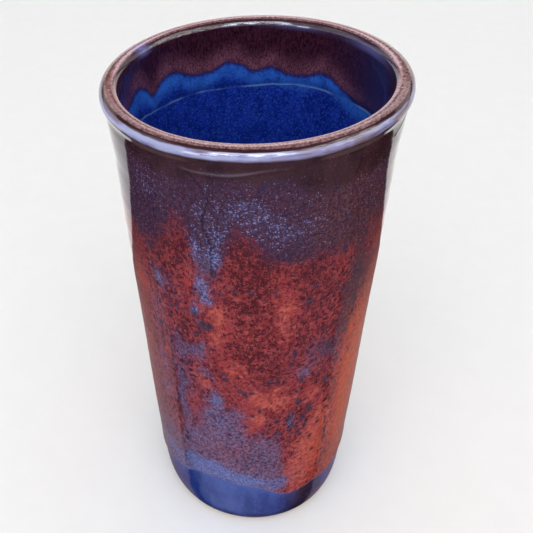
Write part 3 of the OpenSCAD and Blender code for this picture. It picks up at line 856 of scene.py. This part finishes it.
over = coat_mesh("outer_red_glaze", COLS, lambda th: s_out(drip(th)), s_at(I_OUT), 290, off_outer, -0.06, 40,
                 OUT_ATTRS, dense=low_dense)
place_piece(over, "outer_overglaze", M_RED)

rim = coat_mesh("rim_tan_glaze", COLS, s_at(I_OUT), s_at(I_IN), 34, flat_off, -0.06, 12, IN_ATTRS)
place_piece(rim, "rim_glaze", M_RIM)

inner = coat_mesh("inner_red_glaze", COLS, s_at(I_IN), lambda th: s_in(dip(th)), 64, off_inner, -0.06, 16, IN_ATTRS,
                  dense=lambda f: 1 - np.where(1 - f < 0.2, (1 - f) / 0.2 * 0.05, 0.05 + (0.8 - f) / 0.8 * 0.95))
place_piece(inner, "inner_overglaze", M_INNER)

a_umber = lambda th, z, i, s: np.clip(bump(th, 35, 13) * 1.15 + 0.9 * bump(th, 150, 26) + 0.6 * bump(th, -120, 16)
                                      + 0.25 * fractal(th, z, 9.0, 71) - 0.1, 0, 1)
# blue-milk patches on the foot, with a narrow painted dark reflection notch at -38 degrees
a_foot_milk_and_dark_reflection = lambda th, z, i, s: np.clip(0.8 * bump(th, -12, 25) + 0.35 * bump(th, -22, 9) + 0.6 * bump(th, 100, 28)
                                      + 0.7 * bump(th, -165, 30) - 0.80 * bump(th, -38, 4.5)
                                      + 0.2 * fractal(th, z, (6.0, 20.0), 72), 0, 1) * smooth(z, 3, 14)
foot = coat_mesh("foot_blue_glaze", COLS, 0.0, S_CREST, 100, off_base, -BASE_T - 0.02, 32,
                 {"umber": a_umber, "milk": a_foot_milk_and_dark_reflection, "foot": lambda th, z, i, s: s,
                  # the pale glow below the red edge, cut back at 42 and -38 degrees by painted dark reflection bands
                  "near": lambda th, z, i, s: np.exp(-np.clip(drip(th) - z, 0, 60) / 3.5) * (1 - 0.7 * bump(th, 42, 14)) * (1 - 0.7 * bump(th, -38, 5))},
                 dense=lambda f: np.where(f < 0.45, f / 0.45 * 0.2, 0.2 + (f - 0.45) / 0.55 * 0.8))
place_piece(foot, "outer_base_glaze", M_FOOT)

liner = coat_mesh("liner_blue_glaze", 480, S_CREST, S_END, 170, zero_off, -BASE_T + 0.0, 32,
                  {"below": a_below}, pole=True)
place_piece(liner, "inner_liner_glaze", M_LINER)


def clay_piece():
    """Foot ring, recess with its turning rings, and the plain clay under the glaze, as one closed skin."""
    ro, ri = RING_R, RING_R - RING_W
    under = np.array([[0.0, RECESS], [8, RECESS - 0.02], [ri - 8, RECESS], [ri - 3.4, RECESS], [ri - 2.2, RECESS - 0.15],
                      [ri - 1.3, RECESS - 0.75], [ri - 0.75, 1.7], [ri - 0.4, 0.75], [ri, 0.14], [ri + 0.5, 0.0],
                      [ro - 0.5, 0.0], [ro + 0.2, 0.06], [ro + 1.0, 0.34], [ro + 1.9, 1.1]])
    d = np.concatenate([[0], np.cumsum(np.linalg.norm(np.diff(under, axis=0), axis=1))])
    q = np.unique(np.concatenate([np.linspace(0, d[7], 90), np.linspace(d[7], d[-1], 60)]))
    ur, uz = np.interp(q, d, under[:, 0]), np.interp(q, d, under[:, 1])
    cut = np.concatenate([np.linspace(0.0, 12, 13), np.linspace(14, S_CREST - 20, 40), np.linspace(S_CREST - 18, S_CREST + 14, 24),
                          np.linspace(S_CREST + 18, S_END - 70, 34), np.linspace(S_END - 66, S_END, 40)])
    r2 = np.interp(cut, PS, PR) - BASE_T * np.interp(cut, PS, NR)
    z2 = np.interp(cut, PS, PZ) - BASE_T * np.interp(cut, PS, NZ)
    r = np.concatenate([ur, r2])
    z = np.concatenate([uz, z2])
    r[-1] = 0.0
    cols = 320
    th = np.arange(cols) * 360.0 / cols
    T = np.broadcast_to(th, (len(r), cols))
    R = np.repeat(r[:, None], cols, 1)
    Z = np.repeat(z[:, None], cols, 1)
    inside = (np.arange(len(r)) < len(ur))[:, None] & (R < ri - 1.6)
    spiral = 0.10 * np.sin(2 * math.pi * R / 3.1 + np.radians(T)) * smooth(R, 2, 6) * (1 - smooth(R, ri - 6, ri - 2))
    chatter = 0.05 * value_noise(T, R * 3, (6.0, 5.0), 81)
    Z = Z + np.where(inside, spiral + chatter * smooth(R, 1, 5), 0)
    rough_ring = (np.arange(len(r)) < len(ur))[:, None] & (R >= ri - 1.6)
    Z = Z + np.where(rough_ring & (Z > 0.02), 0.03 * value_noise(T, R * 4, 2.5, 82), 0)
    a = np.radians(T)
    grid = np.stack([R * np.sin(a), -R * np.cos(a), Z], -1) * 0.001
    toast = np.clip(smooth(R, ro - 0.8, ro + 1.6) + 0.4 * smooth(Z, 1.2, 0.2) * (R > ri)
                    + 0.3 * fractal(T, Z, 9.0, 83), 0, 1)
    return closed_mesh("clay_body", grid, None, None, {"toast": toast.astype(np.float32)}, pole_first=True, pole_last=True)


place_piece(clay_piece(), "stoneware_body", M_CLAY)

# ---------------------------------------------------------------- stage
def plane(name, x0, x1, y0, y1, z):
    me = bpy.data.meshes.new(name)
    me.from_pydata([(x0, y0, z), (x1, y0, z), (x1, y1, z), (x0, y1, z)], [], [(0, 1, 2, 3)])
    ob = bpy.data.objects.new(name, me)
    scene.collection.objects.link(ob)
    return ob


floor = plane("floor", -4, 4, -4, 4, 0.0)
fm = Tree("pale_floor")
fm.finish(fm.mix(fm.noise(60, 2, 0.5), (0.77, 0.77, 0.765), (0.80, 0.80, 0.795)), 0.9)
floor.data.materials.append(fm.mat)
floor.visible_glossy = False

def card(name, ob_maker, shader_fn):
    """Something that only shows as a reflection in the glaze, never to the camera or as light on a surface."""
    t = Tree(name, "ShaderNodeEmission")
    t.put(t.bsdf.inputs[0], shader_fn(t))
    ob = ob_maker()
    ob.data.materials.append(t.mat)
    t.mat.cycles.emission_sampling = "NONE"
    for flag in ("visible_camera", "visible_diffuse", "visible_shadow", "visible_transmission", "visible_volume_scatter"):
        setattr(ob, flag, False)
    return ob


def xyz(t, vec):
    n = t.t.nodes.new("ShaderNodeSeparateXYZ")
    t.put(n.inputs[0], vec)
    return n.outputs


def ramp(t, v, stops):
    """Colour against v, through (value, colour) stops."""
    lo, hi = stops[0][0], stops[-1][0]
    n = t.t.nodes.new("ShaderNodeValToRGB")
    t.put(n.inputs[0], t.step(v, lo, hi, 0.0, 1.0, "LINEAR"))
    e = n.color_ramp.elements
    while len(e) < len(stops):
        e.new(0.5)
    for k, (x, c) in enumerate(stops):
        e[k].position = (x - lo) / (hi - lo)
    for k, (x, c) in enumerate(stops):
        e[k].color = (*c, 1.0)
    return n.outputs[0]


def ground_colour(t):
    """A ledge under the vase with a straight front edge, dark ground before it, light ground well behind."""
    x, y, _ = xyz(t, t.co)
    n = t.sub(t.noise(9, 3, 0.6), 0.5)
    dist = t.math("SQRT", t.add(t.mul(x, x), t.mul(y, y)))
    near = ramp(t, dist, [(0.05, (0.26, 0.19, 0.19)), (0.15, (0.34, 0.23, 0.22)), (0.21, (0.23, 0.16, 0.155)),
                          (0.26, (0.13, 0.09, 0.10)), (0.31, (0.05, 0.035, 0.045)), (0.40, (0.02, 0.015, 0.02)),
                          (0.80, (0.05, 0.04, 0.05)), (2.20, (0.45, 0.43, 0.46))])
    far = t.add(t.add(y, t.mul(x, -0.09)), t.mul(n, 0.03))
    col = t.mix(t.step(far, 0.189, 0.193), near, (1.16, 1.15, 1.14))
    front = ramp(t, y, [(-1.5, (1.9, 2.0, 2.6)), (-0.75, (1.5, 1.55, 2.1)), (-0.48, (0.45, 0.42, 0.55)),
                        (-0.30, (0.17, 0.15, 0.19)), (-0.12, (0.13, 0.11, 0.15)), (-0.052, (0.11, 0.09, 0.12)),
                        (-0.047, (0.0, 0.0, 0.0)), (-0.038, (0.0, 0.0, 0.0))])
    return t.mix(t.step(y, -0.038, -0.0365), front, col)


def room_colour(t):
    """Bright sky in front, broken up to the sides, and a pale room behind crossed by two dark level lines."""
    v = t.t.nodes.new("ShaderNodeVectorMath")
    v.operation = "NORMALIZE"
    t.put(v.inputs[0], t.co)
    x, y, z = xyz(t, v.outputs[0])
    side = t.mul(t.math("ARCTAN2", x, t.mul(y, -1.0)), 57.29578)
    az = t.math("ABSOLUTE", side)
    el = t.mul(t.math("ARCSINE", z), 57.29578)
    a = t.sub(180.0, az)
    aa = t.mul(a, a)
    e1, e2 = t.add(el, t.mul(aa, 0.0075)), t.add(el, t.mul(aa, 0.004))
    back = t.mix(t.step(e1, 25.5, 27.5), t.mix(t.step(a, 4.0, 22.0), (2.1, 1.75, 1.85), (1.45, 1.35, 1.30)),
                 t.mix(t.step(a, 3.0, 20.0), (4.4, 3.4, 3.8), (1.3, 1.1, 1.1)))
    back = t.mix(t.step(e2, 39.5, 41.0), back, (0.20, 0.18, 0.20))
    line = t.mul(t.mul(t.step(e1, 20.0, 21.0), t.step(e1, 26.0, 27.0, 1.0, 0.0)), t.step(a, 2.5, 7.0, 0.15, 1.0))
    back = t.mix(t.mul(line, 0.95), back, (0.03, 0.02, 0.02))
    front = ramp(t, el, [(-20, (0.5, 0.5, 0.6)), (0, (1.0, 1.05, 1.3)), (14, (1.6, 1.7, 2.1)), (30, (2.4, 2.6, 3.1)),
                         (43, (3.4, 3.7, 4.3)), (47, (8.4, 9.1, 10.6)), (58, (8.4, 9.1, 10.6)),
                         (60.5, (0.28, 0.25, 0.3)), (90, (0.2, 0.2, 0.3))])
    p = t.noise(6.5, 4, 0.65, v.outputs[0])
    patch = t.step(p, 0.47, 0.55, 0.12, t.step(el, 14.0, 20.0, 2.1, 7.5))
    patch = t.mix(t.mul(t.math("MAXIMUM", t.step(az, 6.0, 20.0, 0.30, 1.0), t.step(el, 15.0, 20.0)), t.step(el, 43.0, 46.0, 1.0, 0.0)),
                  (1.0, 1.0, 1.0), patch)
    front = t.mix(1.0, front, patch, "MULTIPLY")
    # leaves and bright gaps to the right, an even wall with one window to the left
    gaps = t.noise(15, 3, 0.6, v.outputs[0])
    right = t.mix(t.step(gaps, 0.46, 0.55), (0.45, 0.38, 0.35), (8.5, 8.2, 8.3))
    right = t.mix(t.step(el, 3.0, 11.0), (0.9, 0.85, 0.9), right)
    left = t.mix(t.step(p, 0.38, 0.64), (0.9, 0.9, 1.0), (2.2, 2.3, 2.6))
    pane = t.mul(t.step(t.math("ABSOLUTE", t.add(side, 42.0)), 4.5, 6.0, 1.0, 0.0),
                 t.step(t.math("ABSOLUTE", t.sub(el, 9.0)), 9.0, 11.0, 1.0, 0.0))
    left = t.mix(pane, left, (10.0, 10.5, 11.5))
    rows = t.step(el, 52.0, 60.0, 1.0, 0.0)
    right = t.mix(rows, (0.4, 0.4, 0.45), right)
    left = t.mix(rows, (0.4, 0.4, 0.45), left)
    front = t.mix(t.step(side, 26.0, 34.0), front, right)
    front = t.mix(t.step(side, -32.0, -38.0), front, left)
    return t.mix(t.step(az, 96.0, 118.0), front, back)


def dome():
    bm = bmesh.new()
    bmesh.ops.create_icosphere(bm, subdivisions=4, radius=3.2)
    me = bpy.data.meshes.new("reflected_room")
    bm.to_mesh(me)
    bm.free()
    ob = bpy.data.objects.new("reflected_room", me)
    ob.location = (0, 0, 0.25)
    scene.collection.objects.link(ob)
    return ob


card("reflected_ground", lambda: plane("reflected_ground", -3, 3, -3, 3, -0.001), ground_colour)
card("reflected_room", dome, room_colour)

# ---------------------------------------------------------------- light
world = bpy.data.worlds.new("studio")
scene.world = world
world.use_nodes = True
wt = world.node_tree
wt.nodes.clear()
w_out, w_bg = wt.nodes.new("ShaderNodeOutputWorld"), wt.nodes.new("ShaderNodeBackground")
wt.links.new(w_bg.outputs[0], w_out.inputs[0])
w_co, w_sep = wt.nodes.new("ShaderNodeTexCoord"), wt.nodes.new("ShaderNodeSeparateXYZ")
wt.links.new(w_co.outputs["Generated"], w_sep.inputs[0])
w_front = wt.nodes.new("ShaderNodeMapRange")
w_front.interpolation_type = "SMOOTHSTEP"
wt.links.new(w_sep.outputs["Y"], w_front.inputs[0])
for k, v in enumerate((-0.30, -0.95, 0.0, 1.0), 1):
    w_front.inputs[k].default_value = v
w_mix = wt.nodes.new("ShaderNodeMix")
w_mix.data_type = "RGBA"
wt.links.new(w_front.outputs[0], w_mix.inputs[0])
w_mix.inputs[6].default_value = (1.0, 1.0, 1.0, 1)
w_mix.inputs[7].default_value = (1.65, 1.65, 1.72, 1)
wt.links.new(w_mix.outputs[2], w_bg.inputs[0])
w_bg.inputs[1].default_value = 0.90


def softbox(name, az, el_deg, dist, width, height, radiance, colour):
    """A soft panel at azimuth az (0 in front, + to the right) and elevation el_deg, facing the vase."""
    li = bpy.data.lights.new(name, "AREA")
    li.shape, li.size, li.size_y = "RECTANGLE", width, height
    li.color = colour
    li.energy = radiance * math.pi * width * height
    ob = bpy.data.objects.new(name, li)
    scene.collection.objects.link(ob)
    a, e = math.radians(az), math.radians(el_deg)
    back = np.array([math.sin(a) * math.cos(e), -math.cos(a) * math.cos(e), math.sin(e)])
    x = np.array([math.cos(a), math.sin(a), 0.0])
    y = np.cross(back, x)
    m = Matrix.Identity(4)
    for r in range(3):
        m[r][0], m[r][1], m[r][2] = x[r], y[r], back[r]
        m[r][3] = (back * dist)[r] + (0.2 if r == 2 else 0)
    ob.matrix_world = m
    ob.visible_glossy = False
    return ob


softbox("key_panel", -4, 55, 1.2, 1.2, 0.8, 2.0, (1.0, 0.99, 0.97))

# ---------------------------------------------------------------- camera
cam_data = bpy.data.cameras.new("camera")
cam = bpy.data.objects.new("camera", cam_data)
scene.collection.objects.link(cam)
scene.camera = cam
cam_data.sensor_fit, cam_data.sensor_width = "HORIZONTAL", 36.0
cam_data.lens = 760.0 / 533.0 * 36.0
cam_data.shift_x, cam_data.shift_y = 96.3 / 533.0, 32.2 / 533.0
cam_data.clip_start, cam_data.clip_end = 0.01, 50.0
cp, sp = math.cos(math.radians(41.18)), math.sin(math.radians(41.18))
cy, sy = math.cos(math.radians(-6.16)), math.sin(math.radians(-6.16))
cr, sr = math.cos(math.radians(0.40)), math.sin(math.radians(0.40))
R = (np.array([[cr, -sr, 0], [sr, cr, 0], [0, 0, 1]]) @ np.array([[cy, 0, -sy], [0, 1, 0], [sy, 0, cy]])
     @ np.array([[1, 0, 0], [0, cp, -sp], [0, sp, cp]]) @ np.array([[1, 0, 0], [0, 0, -1], [0, 1, 0]]))
m = Matrix.Identity(4)
for r in range(3):
    m[r][0], m[r][1], m[r][2] = R[0][r], -R[1][r], -R[2][r]
m[0][3], m[1][3], m[2][3] = 0.0, -0.3005, 0.3916
cam.matrix_world = m
